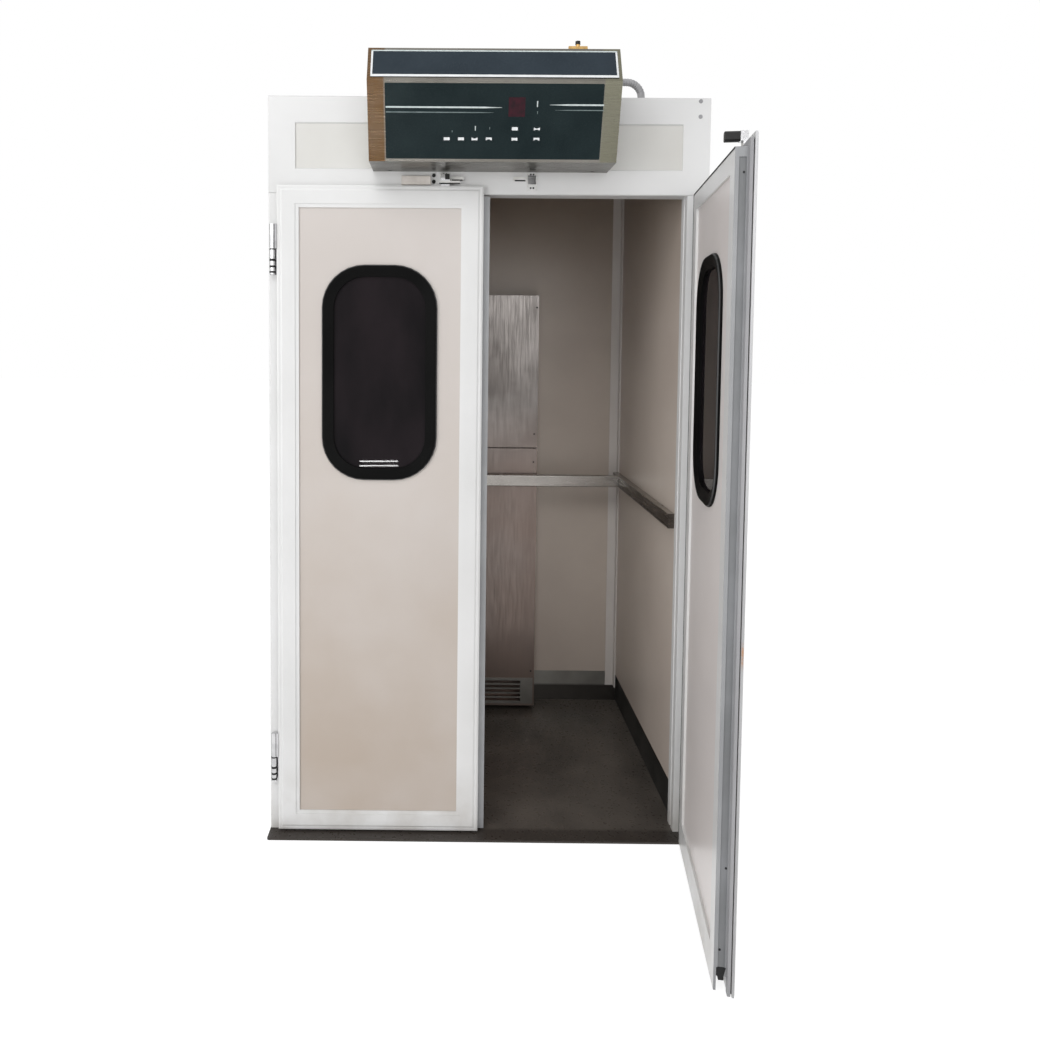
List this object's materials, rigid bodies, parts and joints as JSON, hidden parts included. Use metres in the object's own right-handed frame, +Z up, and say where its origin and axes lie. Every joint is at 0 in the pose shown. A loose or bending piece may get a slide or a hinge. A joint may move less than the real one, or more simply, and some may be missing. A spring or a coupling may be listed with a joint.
{
  "type": "walk-in proofing chamber",
  "caption": "Tall walk-in dough proofing chamber with two hinged windowed doors, a bumper rail and climate unit inside, and a leaning control box with keys over the header.",
  "frame": {"origin": "centre of the floor plate's underside, on the surface the chamber stands on", "axes": "+Z up, -Y out of the doorway towards the user, +X to the user's right when facing the doors"},
  "size_m": [1.29, 1.6332, 2.3243],
  "materials": {
    "white_frame": "satin white lacquered frame profiles",
    "beige_panel": "fine grained beige laminate",
    "window_rubber": "ribbed black rubber",
    "seal_rubber": "soft black rubber",
    "dark_glass": "dark tinted safety glass",
    "stainless": "brushed stainless sheet with light stains",
    "hinge_chrome": "bright chrome",
    "floor_steel": "dark worn floor coating",
    "base_steel": "dull steel rail",
    "rail_aluminium": "satin anodised aluminium",
    "membrane_dark": "dark blue-grey printed foil",
    "fascia_dark": "dark blue-grey foil with a pale border",
    "display_red": "dim red display window",
    "board_green": "circuit board",
    "key_grey": "pale grey key cap",
    "valve_brass": "plain brass",
    "knob_black": "black knob",
    "conduit_grey": "grey corrugated plastic",
    "gland_grey": "grey plastic nut",
    "lever_white": "white moulded plastic",
    "switch_cream": "cream moulded plastic",
    "motor_black": "black painted motor case",
    "fan_steel": "plain sheet steel"
  },
  "bodies": {
    "chamber": {"floor_plate": "floor_steel", "base_channels": "base_steel", "wall_panel_left": "beige_panel", "wall_panel_right": "beige_panel", "wall_panel_rear": "beige_panel", "roof_panel": "beige_panel", "front_post_left": "white_frame", "front_post_right": "white_frame", "header_frame": "white_frame", "header_panel": "beige_panel", "corner_mouldings": "white_frame", "bumper_rail_left": "rail_aluminium", "bumper_rail_right": "rail_aluminium", "bumper_rail_rear": "rail_aluminium", "unit_casing": "stainless", "unit_upper_cover": "stainless", "unit_middle_cover": "stainless", "unit_lower_cover": "stainless", "intake_grille": "stainless", "fan_motor": "motor_black", "heating_element": "stainless", "steam_boiler": "stainless", "control_housing": "stainless", "control_membrane": "membrane_dark", "upper_fascia": "fascia_dark", "display_module": "display_red", "control_board": "board_green", "valve_body": "valve_brass", "conduit": "conduit_grey", "conduit_glands": "gland_grey", "hinge_knuckles": "hinge_chrome", "strike_plates": "hinge_chrome", "hinge_washers": "knob_black", "door_switch": "switch_cream"},
    "left_door": {"left_door_frame": "white_frame", "left_door_panel": "beige_panel", "left_window_gasket": "window_rubber", "left_window_panes": "dark_glass", "left_door_seals": "seal_rubber", "left_hinge_leaves": "hinge_chrome", "left_door_catch": "hinge_chrome"},
    "right_door": {"right_door_frame": "white_frame", "right_door_panel": "beige_panel", "right_window_gasket": "window_rubber", "right_window_panes": "dark_glass", "right_door_seals": "seal_rubber", "right_hinge_leaves": "hinge_chrome", "right_door_catch": "hinge_chrome"},
    "fan_wheel": {"fan_impeller": "fan_steel"},
    "valve_handle": {"valve_knob": "knob_black"},
    "left_lever": {"left_release_lever": "lever_white"},
    "right_lever": {"right_release_lever": "lever_white"},
    "key_1_cap": {"key_1": "key_grey"},
    "key_2_cap": {"key_2": "key_grey"},
    "key_3_cap": {"key_3": "key_grey"},
    "key_4_cap": {"key_4": "key_grey"},
    "key_5_cap": {"key_5": "key_grey"},
    "key_6_cap": {"key_6": "key_grey"},
    "key_7_cap": {"key_7": "key_grey"},
    "key_8_cap": {"key_8": "key_grey"}
  },
  "joints": [
    {"name": "left_door_swing", "type": "hinge", "parent": "chamber", "child": "left_door", "pos_m": [-0.631, -0.477, 1], "axis": [0, 0, -1], "range_deg": [0, 115]},
    {"name": "right_door_swing", "type": "hinge", "parent": "chamber", "child": "right_door", "pos_m": [0.631, -0.477, 1], "axis": [0, 0, 1], "range_deg": [-82, 33]},
    {"name": "fan_spin", "type": "hinge", "parent": "chamber", "child": "fan_wheel", "pos_m": [-0.056, 0.41, 1.446], "axis": [0, 1, 0], "continuous": true},
    {"name": "valve_turn", "type": "hinge", "parent": "chamber", "child": "valve_handle", "pos_m": [0.238, -0.575, 2.316], "axis": [0, 0, 1], "range_deg": [0, 90]},
    {"name": "left_lever_lift", "type": "hinge", "parent": "chamber", "child": "left_lever", "pos_m": [-0.105, -0.4709, 1.968], "axis": [0, -1, 0], "range_deg": [0, 20]},
    {"name": "right_lever_lift", "type": "hinge", "parent": "chamber", "child": "right_lever", "pos_m": [0.105, -0.4709, 1.968], "axis": [0, 1, 0], "range_deg": [0, 20]},
    {"name": "key_1_press", "type": "slide", "parent": "chamber", "child": "key_1_cap", "axis": [0, 0.9453, 0.3261], "range_m": [0, 0.0008], "stiffness_N_per_m": 2500},
    {"name": "key_2_press", "type": "slide", "parent": "chamber", "child": "key_2_cap", "axis": [0, 0.9453, 0.3261], "range_m": [0, 0.0008], "stiffness_N_per_m": 2500},
    {"name": "key_3_press", "type": "slide", "parent": "chamber", "child": "key_3_cap", "axis": [0, 0.9453, 0.3261], "range_m": [0, 0.0008], "stiffness_N_per_m": 2500},
    {"name": "key_4_press", "type": "slide", "parent": "chamber", "child": "key_4_cap", "axis": [0, 0.9453, 0.3261], "range_m": [0, 0.0008], "stiffness_N_per_m": 2500},
    {"name": "key_5_press", "type": "slide", "parent": "chamber", "child": "key_5_cap", "axis": [0, 0.9453, 0.3261], "range_m": [0, 0.0008], "stiffness_N_per_m": 2500},
    {"name": "key_6_press", "type": "slide", "parent": "chamber", "child": "key_6_cap", "axis": [0, 0.9453, 0.3261], "range_m": [0, 0.0008], "stiffness_N_per_m": 2500},
    {"name": "key_7_press", "type": "slide", "parent": "chamber", "child": "key_7_cap", "axis": [0, 0.9453, 0.3261], "range_m": [0, 0.0008], "stiffness_N_per_m": 2500},
    {"name": "key_8_press", "type": "slide", "parent": "chamber", "child": "key_8_cap", "axis": [0, 0.9453, 0.3261], "range_m": [0, 0.0008], "stiffness_N_per_m": 2500}
  ]
}
